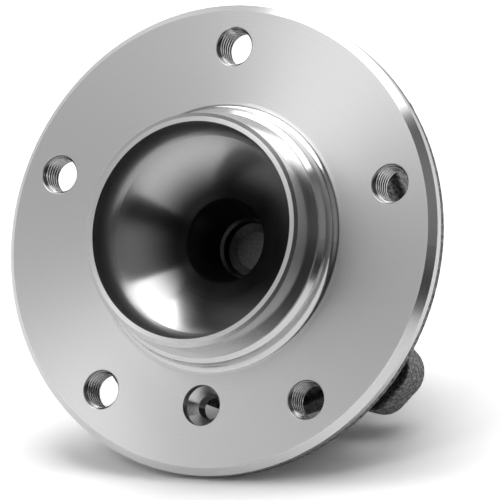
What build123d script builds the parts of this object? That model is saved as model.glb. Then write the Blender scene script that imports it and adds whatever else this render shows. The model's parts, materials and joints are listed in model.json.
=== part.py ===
from build123d import *
import math
import os

# Flanged wheel hub bearing unit. Sizes are millimetres.
# Y is the spin axis. The road wheel bolts on at the -Y side and the knuckle is at the +Y side. Z is up.
# The origin lies on the spin axis, in the plane of the wheel mounting face.

# Wheel flange and its tapped wheel bolt holes
wheel_bolt_pcd = 120.0
wheel_bolt_count = 5
wheel_bolt_hole_r = 6.1
wheel_bolt_lead_in = 0.2
flange_edge_wall = 7.3
flange_thickness = 10.2
flange_front_chamfer = 2.2
flange_land = 2.6
flange_land_step = 0.3
flange_back_chamfer = 2.4

# Bowl in the hub's nose: a straight mouth, a wide cone and a narrow throat with a blind hole at its bottom
bowl_r = 33.6
bowl_mouth_length = 7.6
bowl_cone_length = 17.0
bowl_throat_r = 13.0
bowl_throat_length = 15.8
bowl_corner_round = 8.0
bowl_throat_round = 2.0
blind_hole_r = 8.55
blind_hole_rim = 1.1
blind_hole_depth = 4.3
blind_hole_floor_r = 6.0

# Pilots that centre the wheel and the rotor, built outwards from the bowl
nose_wall = 2.65
wheel_pilot_height = 10.7
wheel_pilot_rim_width = 1.25
wheel_pilot_rim_chamfer = 0.45
pilot_step_rise = 1.85
pilot_step_width = 1.1
rotor_pilot_rise = 1.4
rotor_pilot_length = 5.3
rotor_pilot_chamfer = 1.3
pilot_cove_r = 3.4

# Brake rotor screw hole, with a sunk conical seat
rotor_screw_angle = 270.0
rotor_screw_wall = 6.0
rotor_screw_hole_r = 3.7
rotor_screw_seat_r = 6.4
rotor_screw_seat_depth = 2.9

# Hub root and seal track behind the flange
root_height = 2.4
root_slope = 2.4
seal_track_rise = 0.5
seal_track_fillet = 2.5

# Ball rows
ball_r = 6.35
ball_count = 13
pitch_r = 32.0
row_spacing = 22.0
race_gap = 0.25
row_margin = 0.4
inner_shoulder = 4.5
outer_shoulder = 3.0

# Outer ring
ring_gap = 2.4
ring_wall = 7.4
ring_end_chamfer = 1.5
seal_bore_step = 1.0
seal_pocket = 5.0
register_length = 14.5
register_step = 2.5
register_chamfer = 1.6
register_relief = 0.5
register_relief_width = 2.0

# Four lugs on the outer ring, each given by its direction around the axis in degrees
lug_angles = [-41.0, 221.0, 56.0, 124.0]
lug_thickness = 12.0
lug_plate_margin = 4.0
lug_end_wall = 3.8
lug_side_wall = 5.8
lug_corner_r = 8.5
lug_blend_ratio = 1.5
lug_edge_r = 1.0
barrel_cove_r = 2.5
knuckle_bolt_hole_r = 6.0
knuckle_bolt_wall = 2.0
knuckle_bolt_lead_in = 0.5

# Pressed inner ring and the shaft end that is formed over it
inner_ring_wall = 4.9
inner_rib_drop = 0.5
inner_ring_chamfer = 0.8
collar_width = 6.5
collar_height = 4.2
collar_round = 2.2
collar_seat_round = 0.4
end_recess_wall = 7.0
end_recess_taper = 4.5
end_recess_depth = 9.0

# Cages
cage_pocket_gap = 0.25
cage_half_height = 2.5
cage_mouth = 2.2
cage_back = 1.7

# Seals
case_wall = 0.7
case_setback = 0.3
lip_gap = 0.25
lip_thickness = 0.6
lip_lean = 0.3
lip_bead = 1.6
lip_reach = 3.0
side_lip_root = 0.8
side_lip_offset = 1.6
rubber_layer = 1.2
slinger_wall = 0.6
slinger_edge_gap = 0.9
encoder_thickness = 0.9
encoder_inner_gap = 0.6

# Small roundings of the forgings
edge_round = 0.8
foot_round = 1.0

# How far a cutting tool runs past a face, and how near an edge lies to a radius or plane that picks it out
cut_overrun = 1.0
match_tolerance = 0.01

# Radii that follow from the sizes above
flange_r = wheel_bolt_pcd / 2 + wheel_bolt_hole_r + flange_edge_wall
wheel_pilot_r = bowl_r + nose_wall
pilot_step_r = wheel_pilot_r + pilot_step_rise
rotor_pilot_r = pilot_step_r + rotor_pilot_rise
rotor_screw_offset = rotor_pilot_r + rotor_screw_wall + rotor_screw_seat_r
race_r = ball_r + race_gap
race_outer_r = pitch_r + race_r
inner_land_r = pitch_r - inner_shoulder
outer_land_r = pitch_r + outer_shoulder
inner_rib_r = pitch_r - inner_rib_drop
seal_track_r = pitch_r + seal_track_rise
seal_bore_r = race_outer_r + seal_bore_step
case_inner_r = seal_track_r + lip_reach
ring_barrel_r = seal_bore_r + ring_wall
root_r = ring_barrel_r
register_r = ring_barrel_r - register_step
lug_plate_r = ring_barrel_r + lug_plate_margin
knuckle_bolt_offset = ring_barrel_r + knuckle_bolt_wall + knuckle_bolt_hole_r
lug_reach = knuckle_bolt_offset + knuckle_bolt_hole_r + lug_end_wall
lug_width = 2 * (knuckle_bolt_hole_r + lug_side_wall)
lug_blend_r = lug_blend_ratio * (lug_reach - lug_plate_r - lug_corner_r)
shaft_r = pitch_r - race_r - inner_ring_wall
collar_r = shaft_r + collar_width
end_recess_r = shaft_r - end_recess_wall
slinger_edge_r = seal_bore_r - case_wall - slinger_edge_gap

# Positions along the spin axis that follow from the sizes above
pilot_step_y = -rotor_pilot_length - rotor_pilot_chamfer - pilot_step_width
nose_y = pilot_step_y - wheel_pilot_height
bowl_cone_y = nose_y + bowl_mouth_length
bowl_throat_y = bowl_cone_y + bowl_cone_length
blind_rim_y = bowl_throat_y + bowl_throat_length
blind_mouth_y = blind_rim_y + blind_hole_rim
blind_floor_y = blind_mouth_y + blind_hole_depth
root_y = flange_thickness + root_height
ring_front_y = root_y + ring_gap
outboard_row_y = ring_front_y + seal_pocket + row_margin + ball_r
inboard_row_y = outboard_row_y + row_spacing
split_y = (outboard_row_y + inboard_row_y) / 2
ring_back_y = inboard_row_y + ball_r + row_margin + seal_pocket
knuckle_face_y = ring_back_y - register_length
lug_front_y = knuckle_face_y - lug_thickness
collar_end_y = ring_back_y + collar_height
outboard_leg_y = ring_front_y + seal_pocket - case_setback
inboard_leg_y = ring_back_y - seal_pocket + case_setback
encoder_y = ring_back_y - case_setback - encoder_thickness
slinger_leg_y = encoder_y - slinger_wall


def turned(profile, rounding=None):
    """Solid of revolution about Y from (radius, y) points, with an optional list of corner roundings."""
    if rounding is None:
        outline = Polyline(*profile, close=True)
    else:
        outline = FilletPolyline(*profile, radius=rounding, close=True)
    return revolve(make_face(outline), Axis.Y)


def race_groove(row_y):
    """Ring shaped tool that cuts one ball track."""
    return revolve(Pos(pitch_r, row_y) * Circle(race_r), Axis.Y)


def around(offset, angle):
    """Place at a distance from the spin axis, in a direction counted from +X towards +Z."""
    turn = math.radians(angle)
    return Pos(offset * math.cos(turn), 0, offset * math.sin(turn))


def wheel_bolt_angles():
    """Directions of the wheel bolt holes, with the first one straight up."""
    return [90 + 360 * i / wheel_bolt_count for i in range(wheel_bolt_count)]


def wheel_bolt_tool():
    """Through hole, eased at the wheel side."""
    wide_r = wheel_bolt_hole_r + wheel_bolt_lead_in
    return turned(
        [
            (0, -cut_overrun),
            (wide_r, -cut_overrun),
            (wide_r, 0),
            (wheel_bolt_hole_r, wheel_bolt_lead_in),
            (wheel_bolt_hole_r, root_y),
            (0, root_y),
        ]
    )


def rotor_screw_tool():
    """Sunk round seat, a 90 degree cone and the screw's through hole."""
    cone_depth = rotor_screw_seat_r - rotor_screw_hole_r
    return turned(
        [
            (0, -cut_overrun),
            (rotor_screw_seat_r, -cut_overrun),
            (rotor_screw_seat_r, rotor_screw_seat_depth),
            (rotor_screw_hole_r, rotor_screw_seat_depth + cone_depth),
            (rotor_screw_hole_r, root_y),
            (0, root_y),
        ]
    )


def bowl_tool():
    """Straight mouth, wide cone, narrow throat, and a hole with an eased rim and a narrower flat floor."""
    ease = blind_hole_r - blind_hole_floor_r
    profile = [
        ((0, nose_y - cut_overrun), 0),
        ((bowl_r, nose_y - cut_overrun), 0),
        ((bowl_r, bowl_cone_y), bowl_corner_round),
        ((bowl_throat_r, bowl_throat_y), bowl_throat_round),
        ((blind_hole_r + blind_hole_rim, blind_rim_y), 0),
        ((blind_hole_r, blind_mouth_y), 0),
        ((blind_hole_r, blind_floor_y - ease / 2), 0),
        ((blind_hole_floor_r, blind_floor_y), 0),
        ((0, blind_floor_y), 0),
    ]
    return turned([point for point, _ in profile], [rounding for _, rounding in profile])


def hub_spindle():
    """Flange, pilots, bowl, outboard ball track and the shaft with its formed collar, in one forging."""
    land_end = flange_front_chamfer + flange_land
    back_r = flange_r - flange_land_step
    track_y = outboard_row_y - math.sqrt(race_r**2 - (pitch_r - seal_track_r) ** 2)
    recess_floor_y = collar_end_y - end_recess_depth
    profile = [
        ((0, nose_y), 0),
        ((wheel_pilot_r - wheel_pilot_rim_width, nose_y), 0),
        ((wheel_pilot_r, nose_y + wheel_pilot_rim_chamfer), 0),
        ((wheel_pilot_r, pilot_step_y), 0),
        ((pilot_step_r, pilot_step_y), 0),
        ((pilot_step_r, -rotor_pilot_length - rotor_pilot_chamfer), 0),
        ((rotor_pilot_r, -rotor_pilot_length), 0),
        ((rotor_pilot_r, 0), pilot_cove_r),
        ((flange_r - flange_front_chamfer, 0), 0),
        ((flange_r, flange_front_chamfer), 0),
        ((flange_r, land_end), 0),
        ((back_r, land_end + flange_land_step), 0),
        ((back_r, flange_thickness - flange_back_chamfer), edge_round),
        ((back_r - flange_back_chamfer, flange_thickness), 0),
        ((root_r + root_slope, flange_thickness), foot_round),
        ((root_r, root_y), edge_round),
        ((seal_track_r, root_y), seal_track_fillet),
        ((seal_track_r, track_y), 0),
        ((seal_track_r, outboard_row_y), 0),
        ((inner_land_r, outboard_row_y), 0),
        ((inner_land_r, split_y), 0),
        ((shaft_r, split_y), 0),
        ((shaft_r, ring_back_y), 0),
        ((collar_r, ring_back_y), collar_seat_round),
        ((collar_r, collar_end_y), collar_round),
        ((end_recess_r, collar_end_y), foot_round),
        ((end_recess_r - end_recess_taper, recess_floor_y), foot_round),
        ((0, recess_floor_y), 0),
    ]
    body = turned([point for point, _ in profile], [rounding for _, rounding in profile])
    body -= race_groove(outboard_row_y)
    body -= bowl_tool()
    for angle in wheel_bolt_angles():
        body -= around(wheel_bolt_pcd / 2, angle) * wheel_bolt_tool()
    body -= around(rotor_screw_offset, rotor_screw_angle) * rotor_screw_tool()
    return body


def inner_ring():
    """Ring pressed onto the shaft, with the inboard ball track and the slinger's seat."""
    ease = inner_ring_chamfer
    body = turned(
        [
            (shaft_r, split_y),
            (inner_land_r, split_y),
            (inner_land_r, inboard_row_y),
            (inner_rib_r, inboard_row_y),
            (inner_rib_r, ring_back_y - ease),
            (inner_rib_r - ease, ring_back_y),
            (shaft_r, ring_back_y),
        ]
    )
    return body - race_groove(inboard_row_y)


def lug_outline():
    """Round plate with four rounded lugs, drawn with X across and Z up."""
    outline = Circle(lug_plate_r)
    for angle in lug_angles:
        outline += Rot(0, 0, angle) * Pos(lug_reach / 2, 0) * Rectangle(lug_reach, lug_width)
    corners = [v for v in outline.vertices() if v.center().length > lug_reach]
    outline = fillet(corners, lug_corner_r)
    necks = [v for v in outline.vertices() if abs(v.center().length - lug_plate_r) < match_tolerance]
    return fillet(necks, lug_blend_r)


def knuckle_bolt_tool():
    """Through hole in a lug, eased at both mouths."""
    wide_r = knuckle_bolt_hole_r + knuckle_bolt_lead_in
    return turned(
        [
            (0, lug_front_y - cut_overrun),
            (wide_r, lug_front_y - cut_overrun),
            (wide_r, lug_front_y),
            (knuckle_bolt_hole_r, lug_front_y + knuckle_bolt_lead_in),
            (knuckle_bolt_hole_r, knuckle_face_y - knuckle_bolt_lead_in),
            (wide_r, knuckle_face_y),
            (wide_r, knuckle_face_y + cut_overrun),
            (0, knuckle_face_y + cut_overrun),
        ]
    )


def at_lug_front(edge):
    """True for an edge in the plane of the lug plate's front face."""
    return abs(edge.center().Y - lug_front_y) < match_tolerance


def is_cove(edge):
    """True for the circle where the barrel meets the lug plate's front face."""
    return abs(edge.radius - ring_barrel_r) < match_tolerance and at_lug_front(edge)


def outer_ring():
    """Stationary ring: both outer ball tracks, two seal bores, the lugs and the knuckle register."""
    relief_r = register_r - register_relief
    relief_end = knuckle_face_y + register_relief_width
    inside_plate = (lug_front_y + knuckle_face_y) / 2
    barrel = turned(
        [
            (pitch_r, ring_front_y),
            (ring_barrel_r - ring_end_chamfer, ring_front_y),
            (ring_barrel_r, ring_front_y + ring_end_chamfer),
            (ring_barrel_r, inside_plate),
            (relief_r, inside_plate),
            (relief_r, relief_end),
            (register_r, relief_end + register_relief),
            (register_r, ring_back_y - register_chamfer),
            (register_r - register_chamfer, ring_back_y),
            (pitch_r, ring_back_y),
        ]
    )
    plate_plane = Plane((0, lug_front_y, 0), x_dir=(1, 0, 0), z_dir=(0, -1, 0))
    plate = extrude(plate_plane * lug_outline(), amount=-lug_thickness)
    body = barrel + fillet(plate.edges().filter_by(at_lug_front), lug_edge_r)
    coves = body.edges().filter_by(GeomType.CIRCLE).filter_by(is_cove)
    body = fillet(coves, barrel_cove_r)
    body -= turned(
        [
            (0, ring_front_y - cut_overrun),
            (seal_bore_r, ring_front_y - cut_overrun),
            (seal_bore_r, ring_front_y + seal_pocket),
            (race_outer_r, ring_front_y + seal_pocket + seal_bore_step / 2),
            (race_outer_r, outboard_row_y),
            (outer_land_r, outboard_row_y),
            (outer_land_r, inboard_row_y),
            (race_outer_r, inboard_row_y),
            (race_outer_r, ring_back_y - seal_pocket - seal_bore_step / 2),
            (seal_bore_r, ring_back_y - seal_pocket),
            (seal_bore_r, ring_back_y + cut_overrun),
            (0, ring_back_y + cut_overrun),
        ]
    )
    body -= race_groove(outboard_row_y)
    body -= race_groove(inboard_row_y)
    for angle in lug_angles:
        body -= around(knuckle_bolt_offset, angle) * knuckle_bolt_tool()
    return body


def ball_angles():
    """Directions of the balls around a row."""
    return [90 + 360 * i / ball_count for i in range(ball_count)]


def ball_set(row_y):
    """One row of separate steel balls."""
    return Compound([around(pitch_r, a) * Pos(0, row_y, 0) * Sphere(ball_r) for a in ball_angles()])


def cage(row_y, inward):
    """Snap-in cage: a ring on the inward side of the balls, with round radial pockets that reach past them."""
    pocket_r = ball_r + cage_pocket_gap
    mouth_y = row_y - inward * cage_mouth
    back_y = row_y + inward * (pocket_r + cage_back)
    ring = turned(
        [
            (pitch_r - cage_half_height, mouth_y),
            (pitch_r + cage_half_height, mouth_y),
            (pitch_r + cage_half_height, back_y),
            (pitch_r - cage_half_height, back_y),
        ]
    )
    pocket = Cylinder(pocket_r, 2 * (cage_half_height + cut_overrun))
    for angle in ball_angles():
        ring -= around(pitch_r, angle) * Pos(0, row_y, 0) * Rot(0, 90 - angle, 0) * pocket
    return ring


def seal_case(leg_y, mouth_y, side):
    """Pressed steel ring with an inward leg. side is +1 where its mouth is towards +Y, and -1 otherwise."""
    wall_r = seal_bore_r - case_wall
    return turned(
        [
            (seal_bore_r, mouth_y),
            (seal_bore_r, leg_y),
            (case_inner_r, leg_y),
            (case_inner_r, leg_y + side * case_wall),
            (wall_r, leg_y + side * case_wall),
            (wall_r, mouth_y),
        ]
    )


def seal_lip(leg_y, side, track_r, running_face_y):
    """Moulded rubber on a case's leg: a grease lip and a dust lip to the track, and a side lip to a face."""
    wall_r = seal_bore_r - case_wall
    bead_r = case_inner_r - lip_bead
    tip_r = track_r + lip_gap
    side_r = case_inner_r + side_lip_offset
    face = case_wall + rubber_layer
    side_tip = side * (running_face_y - leg_y) - lip_gap
    section = [
        (wall_r, case_wall),
        (case_inner_r, case_wall),
        (case_inner_r, 0),
        (case_inner_r - lip_thickness, 0),
        (bead_r, lip_thickness),
        (tip_r, lip_lean),
        (tip_r, lip_lean + lip_thickness),
        (bead_r, face - lip_thickness),
        (tip_r, face),
        (tip_r, face + lip_thickness),
        (case_inner_r - lip_thickness, face),
        (case_inner_r + side_lip_root, face),
        (side_r, side_tip),
        (side_r + lip_thickness, side_tip),
        (case_inner_r + side_lip_root + 2 * lip_thickness, face),
        (wall_r, face),
    ]
    return turned([(radius, leg_y + side * depth) for radius, depth in section])


def seal_slinger():
    """Thin stainless ring pressed onto the inner ring, with an outward leg that closes the seal."""
    return turned(
        [
            (inner_rib_r, inboard_leg_y),
            (inner_rib_r + slinger_wall, inboard_leg_y),
            (inner_rib_r + slinger_wall, slinger_leg_y),
            (slinger_edge_r, slinger_leg_y),
            (slinger_edge_r, encoder_y),
            (inner_rib_r, encoder_y),
        ]
    )


def encoder_ring():
    """Magnetic rubber ring bonded to the slinger's outer face, read by the wheel speed sensor."""
    inner = inner_rib_r + encoder_inner_gap
    return turned(
        [
            (inner, encoder_y),
            (slinger_edge_r, encoder_y),
            (slinger_edge_r, encoder_y + encoder_thickness),
            (inner, encoder_y + encoder_thickness),
        ]
    )


def build_nodes():
    """Every physical piece by its node name."""
    slinger_track_r = inner_rib_r + slinger_wall
    return {
        "hub_spindle": hub_spindle(),
        "inner_ring": inner_ring(),
        "outer_ring": outer_ring(),
        "outboard_balls": ball_set(outboard_row_y),
        "inboard_balls": ball_set(inboard_row_y),
        "outboard_cage": cage(outboard_row_y, 1),
        "inboard_cage": cage(inboard_row_y, -1),
        "outboard_seal_case": seal_case(outboard_leg_y, ring_front_y + case_setback, -1),
        "outboard_seal_lip": seal_lip(outboard_leg_y, -1, seal_track_r, root_y),
        "inboard_seal_case": seal_case(inboard_leg_y, ring_back_y - case_setback, 1),
        "inboard_seal_lip": seal_lip(inboard_leg_y, 1, slinger_track_r, slinger_leg_y),
        "seal_slinger": seal_slinger(),
        "encoder_ring": encoder_ring(),
    }


os.makedirs("parts", exist_ok=True)
for name, shape in build_nodes().items():
    export_step(shape, f"parts/{name}.step")
    box = shape.bounding_box()
    print(name, len(shape.solids()), round(shape.volume), box.min, box.max)
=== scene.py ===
# %% [markdown]
# # A wheel hub bearing, dressed
# The part is the hub end of a car's wheel bearing: a turned flange with five tapped holes, a stepped nose
# that centres the rotor and the wheel, and behind it a dark forged ring that bolts to the knuckle.
# Its pieces come ready made and measured, at their real place and size. This lesson only adds what a
# measured solid lacks: finishes, screw threads, light and a camera.

# %% Load the measured pieces
import json
import math

import bpy
import numpy as np
from mathutils import Matrix, Vector


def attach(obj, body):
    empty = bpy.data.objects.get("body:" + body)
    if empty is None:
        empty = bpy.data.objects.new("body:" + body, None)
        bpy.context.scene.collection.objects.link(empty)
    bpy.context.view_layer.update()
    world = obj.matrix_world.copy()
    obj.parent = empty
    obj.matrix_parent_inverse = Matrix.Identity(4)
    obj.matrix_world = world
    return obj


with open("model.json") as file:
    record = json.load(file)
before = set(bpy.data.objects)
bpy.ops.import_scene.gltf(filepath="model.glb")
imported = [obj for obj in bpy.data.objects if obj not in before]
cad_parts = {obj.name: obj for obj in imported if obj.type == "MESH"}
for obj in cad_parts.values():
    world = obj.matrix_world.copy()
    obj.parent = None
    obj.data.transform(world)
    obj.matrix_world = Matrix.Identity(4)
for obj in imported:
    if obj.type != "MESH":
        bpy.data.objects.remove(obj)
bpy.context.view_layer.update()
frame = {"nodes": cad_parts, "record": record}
MM = 0.001

# %% [markdown]
# ## Where the camera stands
# The photograph is a long lens shot from the lower right of the flange. A long lens keeps the circles nearly
# true ellipses. A camera could be aimed with a constraint at a target, but a matrix of three axes also holds
# the small tilt of the frame, so the axes are worked out from three angles.

# %% Camera
camera_azimuth = math.radians(26.528)
camera_elevation = math.radians(-6.402)
camera_tilt = math.radians(-5.185)
camera_place = Vector((673.916, -1326.324, -169.647)) * MM
lens_length = 349.7
sensor_width = 36.0
clip_near = 0.01
clip_far = 20


def camera_axes(azimuth, elevation, tilt):
    """Right, up and back axes: the level pair for the angles, turned in their plane by the tilt."""
    back = Vector(
        (
            math.sin(azimuth) * math.cos(elevation),
            -math.cos(azimuth) * math.cos(elevation),
            math.sin(elevation),
        )
    )
    level_right = Vector((math.cos(azimuth), math.sin(azimuth), 0))
    level_up = back.cross(level_right)
    right = level_right * math.cos(tilt) - level_up * math.sin(tilt)
    return right, back.cross(right), back


def make_camera():
    """Perspective camera whose matrix columns are its three axes and its place."""
    data = bpy.data.cameras.new("camera")
    data.lens = lens_length
    data.sensor_width = sensor_width
    data.clip_start = clip_near
    data.clip_end = clip_far
    camera = bpy.data.objects.new("camera", data)
    axes = Matrix(camera_axes(camera_azimuth, camera_elevation, camera_tilt)).transposed()
    camera.matrix_world = Matrix.Translation(camera_place) @ axes.to_4x4()
    bpy.context.scene.collection.objects.link(camera)
    bpy.context.scene.camera = camera
    return camera


print("camera at", make_camera().matrix_world.translation)

# %% [markdown]
# ## A short hand for shader nodes
# Materials here are graphs of nodes. Written out in full, each node takes three or four lines, so one small
# class adds a node, sets or links its inputs and hands back what comes out of it. The methods under it are
# the few nodes that every finish of this part needs.

# %% Node helper


class Graph:
    """A node tree that is built one node at a time."""

    def __init__(self, tree):
        self.nodes, self.links = tree.nodes, tree.links
        self.nodes.clear()

    def add(self, kind, inputs=None, **settings):
        """New node of a kind. A socket given as an input is linked, and anything else is its value."""
        node = self.nodes.new(kind)
        for key, value in settings.items():
            setattr(node, key, value)
        for socket, value in (inputs or {}).items():
            if isinstance(value, bpy.types.NodeSocket):
                self.links.new(value, node.inputs[socket])
            else:
                node.inputs[socket].default_value = value
        return node

    def math(self, operation, *values):
        """Math node's result for one to three values."""
        return self.add("ShaderNodeMath", dict(enumerate(values)), operation=operation).outputs[0]

    def ramp(self, value, start, end, low=0.0, high=1.0):
        """Smooth step of a value: low before start, high after end."""
        inputs = {"Value": value, "From Min": start, "From Max": end, "To Min": low, "To Max": high}
        return self.add("ShaderNodeMapRange", inputs, interpolation_type="SMOOTHSTEP").outputs[0]

    def past(self, value, edge):
        """Share that grows from 0 at an edge's start to 1 at its end."""
        return self.ramp(value, *edge)

    def before(self, value, edge):
        """Share that falls from 1 at an edge's start to 0 at its end."""
        return self.ramp(value, *edge, 1.0, 0.0)

    def both(self, first, second):
        """Product of two shares: 1 only where both are."""
        return self.math("MULTIPLY", first, second)

    def mix(self, share, first, second):
        """Two shaders blended by a share of the second."""
        return self.add("ShaderNodeMixShader", {0: share, 1: first, 2: second}).outputs[0]

    def grey(self, value):
        """A brightness as a colour."""
        inputs = {"Red": value, "Green": value, "Blue": value}
        return self.add("ShaderNodeCombineColor", inputs).outputs[0]

    def noise(self, position, scale, detail=2.0):
        """Cloudy value between 0 and 1 at a place, with a scale in clouds per metre."""
        inputs = {"Vector": position, "Scale": scale, "Detail": detail}
        return self.add("ShaderNodeTexNoise", inputs).outputs[0]

    def bump(self, height, strength, distance):
        """Normals of a surface that rises by a height of 0 to 1 times a distance."""
        inputs = {"Height": height, "Strength": strength, "Distance": distance}
        return self.add("ShaderNodeBump", inputs).outputs[0]

    def principled(self, inputs):
        """Principled surface with the inputs that differ from its defaults."""
        return self.add("ShaderNodeBsdfPrincipled", inputs).outputs[0]


def new_material(name):
    """Empty node material and its graph."""
    material = bpy.data.materials.new(name)
    material.use_nodes = True
    return material, Graph(material.node_tree)


def finish_material(graph, shader):
    """Send a shader to the surface."""
    graph.add("ShaderNodeOutputMaterial", {"Surface": shader})


print("nodes at hand", [name for name in vars(Graph) if not name.startswith("_")])

# %% [markdown]
# ## Round coordinates
# Everything on a hub is turned about one axis, so its tool marks are rings. A shader that knows a point's
# distance from the axis can draw them. The distance is the length of the point's X and Z. A radial pattern
# could also come from a gradient texture, but a distance in metres can be set against measured sizes.

# %% Coordinates about the spin axis


def axis_distance(graph, position):
    """Length of a position's X and Z, and its Y."""
    axes = graph.add("ShaderNodeSeparateXYZ", {0: position})
    flat = graph.add("ShaderNodeCombineXYZ", {0: axes.outputs[0], 2: axes.outputs[2]}).outputs[0]
    distance = graph.add("ShaderNodeVectorMath", {0: flat}, operation="LENGTH").outputs["Value"]
    return distance, axes.outputs[1]


def round_coordinates(graph):
    """Object position, distance from the spin axis and height along it, all in metres."""
    position = graph.add("ShaderNodeTexCoord").outputs["Object"]
    radius, height = axis_distance(graph, position)
    return position, radius, height


def ring_direction(graph, position):
    """Unit vector along the tool marks: the spin axis crossed with the position."""
    inputs = {0: (0, 1, 0), 1: position}
    along = graph.add("ShaderNodeVectorMath", inputs, operation="CROSS_PRODUCT").outputs[0]
    unit = graph.add("ShaderNodeVectorMath", {0: along}, operation="NORMALIZE").outputs[0]
    turn = {"vector_type": "VECTOR", "convert_from": "OBJECT", "convert_to": "WORLD"}
    return graph.add("ShaderNodeVectorTransform", {0: unit}, **turn).outputs[0]


def ring_noise(graph, distance, rings_per_mm):
    """Noise of one number, so it changes with the distance only."""
    inputs = {"W": distance, "Scale": rings_per_mm / MM}
    return graph.add("ShaderNodeTexNoise", inputs, noise_dimensions="1D").outputs[0]


print("finishes can follow the distance from the spin axis and the height along it")

# %% [markdown]
# ## Turned steel
# A lathe leaves fine grooves around the axis. They spread a highlight across themselves, which gives a turned
# face its fans of light. Thousands of grooves could be modelled, but they are far thinner than a pixel, so
# ring noise stands in for them as a faint tone and bump, and anisotropic gloss makes the fans. Each turned
# surface has its own set of values: the flange's face is satin, and the nose and the rim are turned to a
# shine.

# %% Turned finish
mark_contrast = 0.12
groove_depth = 0.004 * MM
quarter_turn = 0.25
face_turning = dict(grey=0.72, roughness=0.42, stretch=0.8, rings_per_mm=3.0, bump=0.25)
nose_turning = dict(grey=0.7, roughness=0.16, stretch=0.6, rings_per_mm=4.0, bump=0.2)
rim_turning = dict(grey=0.72, roughness=0.2, stretch=0.5, rings_per_mm=4.0, bump=0.2)


def turned_shader(graph, position, coordinate, grey, roughness, stretch, rings_per_mm, bump):
    """Metal with ring shaped tool marks: a bump of ring noise, and gloss that spreads across the rings."""
    marks = ring_noise(graph, coordinate, rings_per_mm)
    tone = graph.math("MULTIPLY_ADD", marks, mark_contrast * grey, (1 - mark_contrast / 2) * grey)
    return graph.principled(
        {
            "Base Color": graph.grey(tone),
            "Metallic": 1.0,
            "Roughness": roughness,
            "Anisotropic": stretch,
            "Anisotropic Rotation": quarter_turn,
            "Tangent": ring_direction(graph, position),
            "Normal": graph.bump(marks, bump, groove_depth),
        }
    )


print("grooves", groove_depth / MM, "mm deep")

# %% [markdown]
# ## The bowl in the nose
# The bowl mirrors the room. Its wall is dull at the mouth and bright in the middle, and painted shade darkens
# its tone towards the mouth. Black scale from the forging's heat covers its bottom. A picture wrapped around
# the wall could hold all that, but a tone and a gloss that change with the height alone stay sharp and keep
# to the bowl's own circles.

# %% Bowl's wall and bottom
bowl_grey = 0.72
bowl_clouds_per_m = 60.0
bowl_tone_clouds = 0.1
bowl_gloss_clouds = 0.06
# painted shade: the wall's tone falls to this share towards the mouth, over this span of height
bowl_mouth_shade_edge = (-12 * MM, -1 * MM)
bowl_mouth_painted_shade = 0.45
bowl_dull_edge = (-13 * MM, -5 * MM)
bowl_mouth_roughness = 0.4
bowl_wall_roughness = 0.13
black_clouds_per_m = 90.0
black_grey = 0.02
black_gloss_clouds = 0.1
black_roughness = 0.25
black_specular = 0.25


def bowl_wall_shader(graph, position, height):
    """Satin steel of the bowl's wall, with faint clouds in its gloss, duller towards its mouth and darkened
    there by painted shade.
    """
    clouds = graph.noise(position, bowl_clouds_per_m)
    # painted shade that darkens the wall's tone towards the mouth
    painted_mouth_shade = graph.ramp(height, *bowl_mouth_shade_edge, bowl_mouth_painted_shade, 1.0)
    cloudy = graph.math("MULTIPLY_ADD", clouds, bowl_tone_clouds, bowl_grey - bowl_tone_clouds / 2)
    dull = graph.ramp(height, *bowl_dull_edge, bowl_mouth_roughness, bowl_wall_roughness)
    return graph.principled(
        {
            "Base Color": graph.grey(graph.math("MULTIPLY", cloudy, painted_mouth_shade)),
            "Metallic": 1.0,
            "Roughness": graph.math("MULTIPLY_ADD", clouds, bowl_gloss_clouds, dull),
        }
    )


def bowl_bottom_shader(graph, position):
    """Black heat scale of the bowl's bottom, with a low gloss."""
    clouds = graph.noise(position, black_clouds_per_m, detail=3.0)
    return graph.principled(
        {
            "Base Color": graph.grey(graph.math("MULTIPLY", clouds, black_grey)),
            "Roughness": graph.math("MULTIPLY_ADD", clouds, black_gloss_clouds, black_roughness),
            "Specular IOR Level": black_specular,
        }
    )


print("bowl roughness", bowl_mouth_roughness, "at its mouth,", bowl_wall_roughness, "further in")

# %% [markdown]
# ## A drilled floor
# The blind hole at the bowl's bottom is drilled. A drill's tip tears the steel a little, so the floor is
# grainy and dark. The grain could be carved into the mesh, but it is only a few hundredths of a millimetre
# high, and at that size bump looks the same.

# %% Drilled finish
drilled_grains_per_m = 1600.0
drilled_grey = 0.02
drilled_contrast = 0.16
drilled_bump = 0.6
drilled_grain_height = 0.05 * MM


def drilled_shader(graph, position):
    """Grainy dark steel, as a drill leaves it."""
    grain = graph.noise(position, drilled_grains_per_m, detail=4.0)
    return graph.principled(
        {
            "Base Color": graph.grey(graph.math("MULTIPLY_ADD", grain, drilled_contrast, drilled_grey)),
            "Metallic": 0.9,
            "Roughness": 0.5,
            "Normal": graph.bump(grain, drilled_bump, drilled_grain_height),
        }
    )


print("drilled grain", drilled_grain_height / MM, "mm high")

# %% [markdown]
# ## Forging skin
# Where no tool has cut, the forging keeps its skin: dark, matt and pebbled, with lighter scale on the high
# spots. Displacing the mesh would need millions of faces, so two sizes of noise add up to pebbles and drive
# the tone, the gloss and the bump together. That way a high spot is also the lighter one.

# %% Forged finish
skin_dark = 0.035
skin_light = 0.42
skin_coarse_per_m = 1000.0
skin_fine_per_m = 3200.0
skin_detail = 3.0
skin_fine_share = 0.6
skin_light_edge = (0.6, 1.05)
skin_gloss_edge = (0.3, 0.7)
skin_roughness = (0.42, 0.62)
skin_metal = 0.55
skin_bump = 0.8
skin_pebble_height = 0.12 * MM


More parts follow.
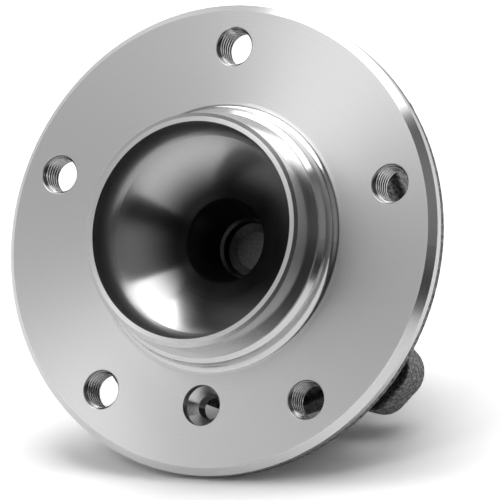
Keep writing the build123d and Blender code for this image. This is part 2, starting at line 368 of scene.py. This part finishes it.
def forged_shader(graph, position, shade=1.0):
    """Matt dark skin: coarse and fine noise as bump, and a lighter tone on the high spots, times a painted
    shade factor.
    """
    coarse = graph.noise(position, skin_coarse_per_m, skin_detail)
    fine = graph.noise(position, skin_fine_per_m, skin_detail)
    pebbles = graph.math("MULTIPLY_ADD", fine, skin_fine_share, coarse)
    tone = graph.math("MULTIPLY", graph.ramp(pebbles, *skin_light_edge, skin_dark, skin_light), shade)
    return graph.principled(
        {
            "Base Color": graph.grey(tone),
            "Metallic": skin_metal,
            "Roughness": graph.ramp(fine, *skin_gloss_edge, *skin_roughness),
            "Normal": graph.bump(pebbles, skin_bump, skin_pebble_height),
        }
    )


print("pebbles", skin_pebble_height / MM, "mm high")

# %% [markdown]
# ## The screw's seat
# A small screw holds the brake rotor while the wheel is off. Its head sinks into a round seat whose tool
# marks run about the screw's own axis and not about the hub's. The seat could be a slot with a material of
# its own, but the measured piece is one mesh with one slot. So the seat is found by its distance from the
# screw's axis, and the same turned finish is drawn about that axis.

# %% Screw seat
screw_drop = Vector((0, 0, 51.9 * MM))
screw_seat_r = 6.5 * MM
screw_seat_edge = (screw_seat_r, 1.01 * screw_seat_r)
screw_sunk_edge = (0.1 * MM, 0.2 * MM)
seat_turning = dict(grey=0.62, roughness=0.2, stretch=0.75, rings_per_mm=5.0, bump=0.5)


def screw_seat_shader(graph, position):
    """Countersink with tool marks around its own axis, and how much of it is at a place: all or nothing."""
    inputs = {0: position, 1: screw_drop}
    local = graph.add("ShaderNodeVectorMath", inputs, operation="ADD").outputs[0]
    distance, depth = axis_distance(graph, local)
    share = graph.both(graph.before(distance, screw_seat_edge), graph.past(depth, screw_sunk_edge))
    return turned_shader(graph, local, distance, **seat_turning), share


print("screw seat", round(screw_seat_r / MM, 1), "mm in radius")

# %% [markdown]
# ## Each finish in its place
# The hub is one forging with all of these finishes. Cutting it into pieces would leave seams, so one material
# holds every finish, and smooth steps of the distance from the axis and of the height choose between them.
# Each edge below says where such a step starts and where it ends.

# %% Hub
nose_end_edge = (-18.38 * MM, -18.36 * MM)
face_edge = (-0.3 * MM, -0.1 * MM)
rim_edge = (71.1 * MM, 71.2 * MM)
back_edge = (4.8 * MM, 4.9 * MM)
root_edge = (46.8 * MM, 46.9 * MM)
bowl_wall_edge = (33.62 * MM, 33.66 * MM)
bowl_reach_edge = (40 * MM, 41 * MM)
black_edge = (-9 * MM, 4.5 * MM)
hole_rim_height_edge = (21.9 * MM, 22.0 * MM)
hole_rim_edge = (8.7 * MM, 8.9 * MM)
hole_wall_edge = (8.6 * MM, 8.7 * MM)
hole_floor_edge = (26.0 * MM, 26.3 * MM)


def bowl_shader(graph, position, radius, height, shine):
    """Wall, black bottom, the blind hole's shining rim and its drilled floor."""
    wall = bowl_wall_shader(graph, position, height)
    shader = graph.mix(graph.past(height, black_edge), wall, bowl_bottom_shader(graph, position))
    on_rim = graph.both(graph.past(height, hole_rim_height_edge), graph.past(radius, hole_rim_edge))
    shader = graph.mix(on_rim, shader, shine)
    on_floor = graph.both(graph.before(radius, hole_wall_edge), graph.past(height, hole_floor_edge))
    return graph.mix(on_floor, shader, drilled_shader(graph, position))


def hub_material():
    """Flange face, shiny nose and rim, forged back, bowl and screw seat, each where the piece has it."""
    material, graph = new_material("hub_steel")
    position, radius, height = round_coordinates(graph)
    face = turned_shader(graph, position, radius, **face_turning)
    nose = turned_shader(graph, position, height, **nose_turning)
    rim = turned_shader(graph, position, height, **rim_turning)
    on_nose = graph.both(graph.before(height, face_edge), graph.past(height, nose_end_edge))
    shader = graph.mix(on_nose, face, nose)
    shader = graph.mix(graph.past(radius, rim_edge), shader, rim)
    on_back = graph.both(graph.past(height, back_edge), graph.past(radius, root_edge))
    shader = graph.mix(on_back, shader, forged_shader(graph, position))
    in_bowl = graph.both(graph.before(radius, bowl_wall_edge), graph.before(height, bowl_reach_edge))
    shader = graph.mix(in_bowl, shader, bowl_shader(graph, position, radius, height, nose))
    seat, at_seat = screw_seat_shader(graph, position)
    finish_material(graph, graph.mix(at_seat, shader, seat))
    return material


def dress(node_name, material):
    """Give a measured piece its finish."""
    for place in frame["nodes"][node_name].material_slots:
        place.material = material


hub_steel = hub_material()
dress("hub_spindle", hub_steel)
print("hub dressed with", len(hub_steel.node_tree.nodes), "nodes")

# %% [markdown]
# ## The forged ring
# The ring behind the flange keeps its forging skin on the lugs and the barrel. Its lugs look nearly black
# from the front, where they lie in the flange's shadow, so painted shade darkens the skin where its normal
# points at the flange. A second material on those faces would need the faces picked by hand, and the normal
# already tells them apart. The knuckle side, the end behind the flange and the bore are turned bright.

# %% Ring
ring_turning = dict(grey=0.6, roughness=0.35, stretch=0.7, rings_per_mm=3.0, bump=0.3)
# painted shade: the skin's tone is scaled down to this share on faces whose normal points at the flange
front_facing_edge = (-0.95, -0.5)
flange_side_painted_shade = 0.25
knuckle_edge = (45.8 * MM, 45.95 * MM)
ring_mouth_edge = (16.0 * MM, 16.2 * MM)
ring_bore_edge = (43.0 * MM, 43.4 * MM)


def ring_material():
    """Forging skin with painted shade where it faces the flange, and turned steel at both ends and in the
    bore.
    """
    material, graph = new_material("forged_ring")
    position, radius, height = round_coordinates(graph)
    normal = graph.add("ShaderNodeTexCoord").outputs["Normal"]
    facing = graph.add("ShaderNodeSeparateXYZ", {0: normal}).outputs[1]
    # painted shade on the faces towards the flange
    skin = forged_shader(graph, position, graph.ramp(facing, *front_facing_edge, flange_side_painted_shade, 1.0))
    turned = turned_shader(graph, position, radius, **ring_turning)
    ends = graph.math("MAXIMUM", graph.past(height, knuckle_edge), graph.before(height, ring_mouth_edge))
    machined = graph.math("MAXIMUM", ends, graph.before(radius, ring_bore_edge))
    finish_material(graph, graph.mix(machined, skin, turned))
    return material


forged_ring = ring_material()
dress("outer_ring", forged_ring)
print("ring dressed with", len(forged_ring.node_tree.nodes), "nodes")

# %% [markdown]
# ## The pieces inside
# Balls and tracks are ground and polished, the cages are moulded plastic, the seal cases are pressed sheet
# and the lips are rubber. Most of this hides behind the flange and could do with plain colours, but the
# part is also seen from behind, so each piece has its own finish.

# %% Finishes of the inner pieces
ground_turning = dict(grey=0.75, roughness=0.18, stretch=0.3, rings_per_mm=5.0, bump=0.1)
sheet_turning = dict(grey=0.6, roughness=0.35, stretch=0.4, rings_per_mm=3.0, bump=0.2)
moulded_contrast = 0.3
moulded_bump = 0.3
moulded_grain_height = 0.03 * MM


def ground_material():
    """Bright ground steel with a faint ring grain."""
    material, graph = new_material("ground_steel")
    position, _, height = round_coordinates(graph)
    finish_material(graph, turned_shader(graph, position, height, **ground_turning))
    return material


def sheet_material():
    """Pressed sheet steel, satin, with fine marks around the axis."""
    material, graph = new_material("sheet_steel")
    position, radius, _ = round_coordinates(graph)
    finish_material(graph, turned_shader(graph, position, radius, **sheet_turning))
    return material


def moulded_material(name, tone, roughness, grains_per_m):
    """Moulded plastic or rubber: one tone, with a fine grain in tone and bump."""
    material, graph = new_material(name)
    position = graph.add("ShaderNodeTexCoord").outputs["Object"]
    grain = graph.noise(position, grains_per_m)
    share = graph.math("MULTIPLY_ADD", grain, moulded_contrast, 1 - moulded_contrast / 2)
    scaled = {0: tone, "Scale": share}
    inputs = {
        "Base Color": graph.add("ShaderNodeVectorMath", scaled, operation="SCALE").outputs[0],
        "Roughness": roughness,
        "Normal": graph.bump(grain, moulded_bump, moulded_grain_height),
    }
    finish_material(graph, graph.principled(inputs))
    return material


print("moulded grain", moulded_grain_height / MM, "mm high")

# %% [markdown]
# ## Dressing the inner pieces
# A real maker's parts list pairs each piece with its stock, and so does this table. Materials could be set
# piece by piece, but a table shows at a glance that none is left out.

# %% Inner pieces
ground = ground_material()
sheet = sheet_material()
cage_plastic = moulded_material("cage_plastic", (0.62, 0.55, 0.36), roughness=0.45, grains_per_m=900.0)
seal_rubber = moulded_material("seal_rubber", (0.02, 0.02, 0.02), roughness=0.6, grains_per_m=1500.0)
magnet_rubber = moulded_material("magnet_rubber", (0.045, 0.036, 0.032), roughness=0.5, grains_per_m=1500.0)
inner_finishes = {
    "inner_ring": ground,
    "outboard_balls": ground,
    "inboard_balls": ground,
    "outboard_cage": cage_plastic,
    "inboard_cage": cage_plastic,
    "outboard_seal_case": sheet,
    "inboard_seal_case": sheet,
    "seal_slinger": sheet,
    "outboard_seal_lip": seal_rubber,
    "inboard_seal_lip": seal_rubber,
    "encoder_ring": magnet_rubber,
}
for node_name, material in inner_finishes.items():
    dress(node_name, material)
print("inner pieces dressed", len(inner_finishes))

# %% [markdown]
# ## A thread's section
# Cut along the hole, a thread is a row of ridges, each with two sloping flanks, a flat crest and a flat root.
# The section could be drawn as a curve and swept, but a formula can be asked for at any depth. It cuts the
# tip and the foot off a triangle wave, and its two numbers are shares of the wave's height.

# %% Thread section
root_flat = 0.12
flank = 0.62


def ridge(phase):
    """Thread section over one pitch, 0 at the root and 1 at the crest: two slopes with flats between."""
    triangle = 1 - np.abs(2 * (phase % 1.0) - 1)
    return np.clip((triangle - root_flat) / flank, 0, 1)


print("ridge over one pitch", ridge(np.linspace(0, 1, 5)).round(2))

# %% [markdown]
# ## Screw threads
# A tapped hole shows its thread as bright ridges that climb the wall. A spiral curve with a bevel could
# make one ridge, but it leaves a seam at the wall. Here the whole wall is one surface of two parameters, the
# angle around the hole and the depth, and its radius rises and falls with the depth minus the angle's
# share of the pitch, which is a screw thread by definition.

# %% Thread surface
thread_columns = 96
thread_rows_per_pitch = 12
sleeve_gap = 0.03


def thread_points(root_r, crest_r, pitch, start, end, lead, lead_out):
    """Grid of points about Y and how far each is up the ridge: the wall, then a plain sleeve behind it.

    The wall's radius is root_r less the thread's height times ridge(depth / pitch - angle / turn), and the
    height fades in over lead and out over lead_out. All lengths are in millimetres.
    """
    rows = int((end - start) / pitch * thread_rows_per_pitch) + 1
    angle = np.linspace(0, 2 * np.pi, thread_columns, endpoint=False)[:, None]
    depth = np.linspace(start, end, rows)[None, :]
    fade = np.clip((depth - start) / lead, 0, 1) * np.clip((end - depth) / lead_out, 0, 1)
    height = (root_r - crest_r) * fade * ridge(depth / pitch - angle / (2 * np.pi))
    wall_r = root_r - height
    sleeve_r = np.full((thread_columns, 2), root_r + sleeve_gap)
    radius = np.concatenate([wall_r, sleeve_r], axis=1)
    sleeve_end = np.full((thread_columns, 1), end)
    sleeve_start = np.full((thread_columns, 1), start)
    along = np.concatenate([np.broadcast_to(depth, wall_r.shape), sleeve_end, sleeve_start], axis=1)
    rise = np.clip((root_r - radius) / (root_r - crest_r), 0, 1)
    return np.stack([radius * np.cos(angle), along, radius * np.sin(angle)], axis=2), rise


def closed_grid_faces(columns, rows):
    """Quads of a grid that closes on itself both ways, like a tube's or a tyre's."""
    i, j = np.meshgrid(np.arange(columns), np.arange(rows), indexing="ij")
    right, below = (i + 1) % columns, (j + 1) % rows
    corners = [i * rows + j, i * rows + below, right * rows + below, right * rows + j]
    return np.stack(corners, axis=2).reshape(-1, 4)


print("points around a thread", thread_columns, "and along each pitch", thread_rows_per_pitch)

# %% [markdown]
# ## A thread's finish
# A fresh tap leaves the crests bright, and the roots are dark with oil and with painted shade. A darkening
# could be painted on each vertex by hand. Here every vertex carries how far up the ridge it is, worked out
# with the surface itself, and the material turns that number into tone.

# %% Thread finish
specks_per_m = 2500.0
speck_contrast = 0.1
bright_edge = (0.74, 0.98)
# painted shade, with oil: the dark tone of the thread's roots
root_oil_and_shade_tone = 0.2
crest_tone = 1.0
thread_roughness = 0.12


def thread_material():
    """Freshly tapped steel: bright crests, and dark roots of oil and painted shade."""
    material, graph = new_material("tapped_steel")
    position = graph.add("ShaderNodeTexCoord").outputs["Object"]
    specks = graph.noise(position, specks_per_m)
    rise = graph.add("ShaderNodeAttribute", attribute_name="rise").outputs["Fac"]
    tone = graph.ramp(rise, *bright_edge, root_oil_and_shade_tone, crest_tone)
    inputs = {
        "Base Color": graph.grey(graph.math("MULTIPLY_ADD", specks, speck_contrast, tone)),
        "Metallic": 1.0,
        "Roughness": graph.math("MULTIPLY_ADD", specks, speck_contrast, thread_roughness),
    }
    finish_material(graph, graph.principled(inputs))
    return material


tapped = thread_material()
print("thread finish", tapped.name)

# %% [markdown]
# ## Threads in the wheel bolt holes
# The five holes in the flange take the wheel's bolts. Their circle, size and number stand in the part's
# record, so they are read from there and a new measure needs no new number here. One thread is worked out
# and moved to each hole. An array modifier could repeat it, but each thread has to be a piece with a name.

# %% Wheel bolt threads
wheel_mount = next(m for m in frame["record"]["mounts"] if m["name"] == "wheel_bolts")
wheel_circle_r = wheel_mount["dims"]["pcd_mm"] / 2
wheel_hole_r = wheel_mount["dims"]["hole_r_mm"]
wheel_hole_count = wheel_mount["dims"]["count"]
first_hole_degrees = 90
wall_gap = 0.05
thread_pitch = 1.5


def mesh_piece(name, points, faces, material, body):
    """Mesh object from points in millimetres, riding on a body."""
    mesh = bpy.data.meshes.new(name)
    mesh.from_pydata((points.reshape(-1, 3) * MM).tolist(), [], faces.tolist())
    mesh.shade_smooth()
    mesh.materials.append(material)
    piece = bpy.data.objects.new(name, mesh)
    bpy.context.scene.collection.objects.link(piece)
    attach(piece, body)
    return piece


def place_thread(name, x, z, thread, body):
    """A thread moved to its hole's centre, which keeps its rise as an attribute for the finish."""
    points, rise = thread
    faces = closed_grid_faces(points.shape[0], points.shape[1])
    piece = mesh_piece(name, points + np.array([x, 0, z]), faces, tapped, body)
    piece.data.attributes.new("rise", "FLOAT", "POINT").data.foreach_set("value", rise.ravel())
    return piece


wheel_thread = thread_points(
    root_r=wheel_hole_r - wall_gap,
    crest_r=5.25,
    pitch=thread_pitch,
    start=0.35,
    end=10.1,
    lead=1.0,
    lead_out=0.6,
)
for i in range(wheel_hole_count):
    angle = math.radians(first_hole_degrees + 360 * i / wheel_hole_count)
    x, z = wheel_circle_r * math.cos(angle), wheel_circle_r * math.sin(angle)
    place_thread(f"wheel_bolt_thread_{i + 1}", x, z, wheel_thread, "hub")
print("wheel bolt threads", wheel_hole_count, "each of", wheel_thread[1].size, "points")

# %% [markdown]
# ## Threads in the lugs
# The ring's four lugs take the bolts that hold it to the knuckle. They come in a lower and an upper pair, and
# each pair's spacing and height are in the record. These threads ride on the ring, which stands still, while
# those in the flange turn with the hub.

# %% Knuckle bolt threads
lug_thread = thread_points(
    root_r=5.95,
    crest_r=5.2,
    pitch=thread_pitch,
    start=34.6,
    end=45.4,
    lead=1.5,
    lead_out=1.5,
)
lug_count = 0
for mount in frame["record"]["mounts"]:
    if mount["name"].startswith("knuckle_bolts"):
        for side in (-1, 1):
            x = side * mount["dims"]["spacing_x_mm"] / 2
            z = mount["pos_m"][2] / MM
            lug_count += 1
            place_thread(f"knuckle_bolt_thread_{lug_count}", x, z, lug_thread, "outer")
print("knuckle bolt threads", lug_count)

# %% [markdown]
# ## The floor it lies on
# The part doesn't stand on its rim. It lies back: the flange's edge and the two lower lugs touch the table,
# so the table leans in the part's own frame. A physics run could drop the part on it, but the lean can be
# measured: a line is tilted until the flange and the ring reach it together.

# %% Lean of the floor
steepest_lean = math.radians(80)
lean_halvings = 40


def side_profile(node_name):
    """A piece's points as depth and height, seen from the side."""
    data = frame["nodes"][node_name].data
    flat = np.empty(len(data.vertices) * 3, np.float32)
    data.vertices.foreach_get("co", flat)
    return flat.reshape(-1, 3)[:, 1:]


def reach_down(profile, lean):
    """How far a profile reaches towards a floor that leans by an angle."""
    return (-profile @ np.array([-math.sin(lean), math.cos(lean)])).max()


def resting_lean(first, second):
    """Bisect the lean at which two profiles reach the floor together."""
    low, high = 0.0, steepest_lean
    for _ in range(lean_halvings):
        middle = (low + high) / 2
        if reach_down(first, middle) > reach_down(second, middle):
            low = middle
        else:
            high = middle
    return low


hub_profile = side_profile("hub_spindle")
floor_lean = resting_lean(hub_profile, side_profile("outer_ring"))
floor_drop = reach_down(hub_profile, floor_lean)
floor_up = Vector((0, -math.sin(floor_lean), math.cos(floor_lean)))
print("floor leans", round(math.degrees(floor_lean), 2), "degrees")

# %% [markdown]
# ## A floor as white as the page
# In the photograph the floor has no edge, and only the shadow on it shows. More light would bleach the steel
# along with it, so the floor's own colour is lifted where the camera sees it, and half way where the steel
# mirrors it. Other light meets a plain pale floor. Its back is clear, so that no view from below is blocked.

# %% Floor
floor_half = 1.1
floor_corners = ((-1, -1), (1, -1), (1, 1), (-1, 1))
floor_tone = 0.8
floor_tone_seen = 1.95
floor_tone_mirrored = 1.4


def floor_material():
    """Matt and pale, lifted where it is seen and half way where it is mirrored, clear from its back."""
    material, graph = new_material("white_floor")
    path = graph.add("ShaderNodeLightPath").outputs
    behind = graph.add("ShaderNodeNewGeometry").outputs["Backfacing"]
    tone = graph.math("MULTIPLY_ADD", path["Is Glossy Ray"], floor_tone_mirrored - floor_tone, floor_tone)
    tone = graph.math("MULTIPLY_ADD", path["Is Camera Ray"], floor_tone_seen - floor_tone, tone)
    matt = graph.add("ShaderNodeBsdfDiffuse", {"Color": graph.grey(tone)}).outputs[0]
    clear = graph.add("ShaderNodeBsdfTransparent").outputs[0]
    hidden = graph.math("MULTIPLY", path["Is Camera Ray"], behind)
    finish_material(graph, graph.mix(hidden, matt, clear))
    return material


def make_floor():
    """Square sheet in the leaning plane, its face upwards."""
    across = Vector((1, 0, 0))
    along = floor_up.cross(across)
    middle = -floor_up * floor_drop
    corners = [middle + (across * u + along * v) * floor_half for u, v in floor_corners]
    mesh = bpy.data.meshes.new("floor")
    mesh.from_pydata(corners, [], [(0, 1, 2, 3)])
    mesh.materials.append(floor_material())
    floor = bpy.data.objects.new("floor", mesh)
    bpy.context.scene.collection.objects.link(floor)
    return floor


print("floor normal", make_floor().data.polygons[0].normal)

# %% [markdown]
# ## A studio in the sky
# Polished steel shows its surroundings more than its own colour, so the room is half of the look. Panels
# could be built around the part, but a world painted by direction costs nothing to render: a pale backdrop,
# a dim side where the photographer stands, and a few soft boxes. The camera itself sees plain white.

# %% World
backdrop_level = 0.7
dim_level = 0.03
backdrop_edge = (-0.15, 0.35)
room_fill = 0.52
white_level = 1.0
soft_boxes = (
    # direction towards it, angle where its full light ends, angle where it has faded out, brightness
    ((-0.62, -0.78, 0.03), 22, 50, 0.65),
    ((-0.19, -0.88, 0.4), 6, 12, 3.0),
    ((0.14, -0.36, 0.92), 22, 26, 2.4),
    ((-0.3, 0.1, 0.95), 20, 50, 0.22),
    ((0.72, -0.58, 0.38), 10, 32, 0.2),
)


def soft_box(graph, direction, centre, inner, outer, level):
    """Round soft patch of light: a smooth step of the cosine of the angle from its centre."""
    inputs = {0: direction, 1: Vector(centre).normalized()}
    towards = graph.add("ShaderNodeVectorMath", inputs, operation="DOT_PRODUCT").outputs["Value"]
    return graph.ramp(towards, math.cos(math.radians(outer)), math.cos(math.radians(inner)), 0.0, level)


def make_world():
    """White for the camera, a share of the painted room for matt surfaces, and all of it for mirrors."""
    world = bpy.data.worlds.new("studio")
    bpy.context.scene.world = world
    world.use_nodes = True
    graph = Graph(world.node_tree)
    direction = graph.add("ShaderNodeTexCoord").outputs["Generated"]
    depth = graph.add("ShaderNodeSeparateXYZ", {0: direction}).outputs[1]
    light = graph.ramp(depth, *backdrop_edge, dim_level, backdrop_level)
    for centre, inner, outer, level in soft_boxes:
        light = graph.math("ADD", light, soft_box(graph, direction, centre, inner, outer, level))
    path = graph.add("ShaderNodeLightPath").outputs
    fill = graph.math("MULTIPLY", light, room_fill)
    light = graph.add("ShaderNodeMix", {0: path["Is Diffuse Ray"], 2: light, 3: fill}).outputs[0]
    strength = graph.add("ShaderNodeMix", {0: path["Is Camera Ray"], 2: light, 3: white_level}).outputs[0]
    background = graph.add("ShaderNodeBackground", {"Color": (1, 1, 1, 1), "Strength": strength}).outputs[0]
    graph.add("ShaderNodeOutputWorld", {"Surface": background})
    return world


print("world", make_world().name, "with", len(soft_boxes), "soft boxes")

# %% [markdown]
# ## One lamp overhead
# A room that lights from all round gives only faint shadows, so one square lamp above the floor adds to the
# soft one under the flange. A sun could draw one too, but a square lamp also shows as a soft bright patch in
# the steel, as a studio's lamp does.

# %% Lamp
lamp_height = 1.3
lamp_shift = Vector((-0.25, 0.35, 0))
lamp_size = 0.6
lamp_level = 2.5


def area_lamp(name, place, size, level):
    """Square lamp aimed at the origin. Its power is its brightness times pi times its area."""
    data = bpy.data.lights.new(name, "AREA")
    data.size = size
    data.energy = level * math.pi * size * size
    lamp = bpy.data.objects.new(name, data)
    lamp.location = place
    lamp.rotation_euler = place.to_track_quat("Z", "Y").to_euler()
    lamp.visible_camera = False
    bpy.context.scene.collection.objects.link(lamp)
    return lamp


overhead = area_lamp("overhead", floor_up * lamp_height + lamp_shift, lamp_size, lamp_level)
print("lamp of", round(overhead.data.energy, 2), "watts at", overhead.location)

# %% [markdown]
# ## The view
# The standard view shows each colour as it is written.

# %% View transform
bpy.context.scene.view_settings.view_transform = "Standard"
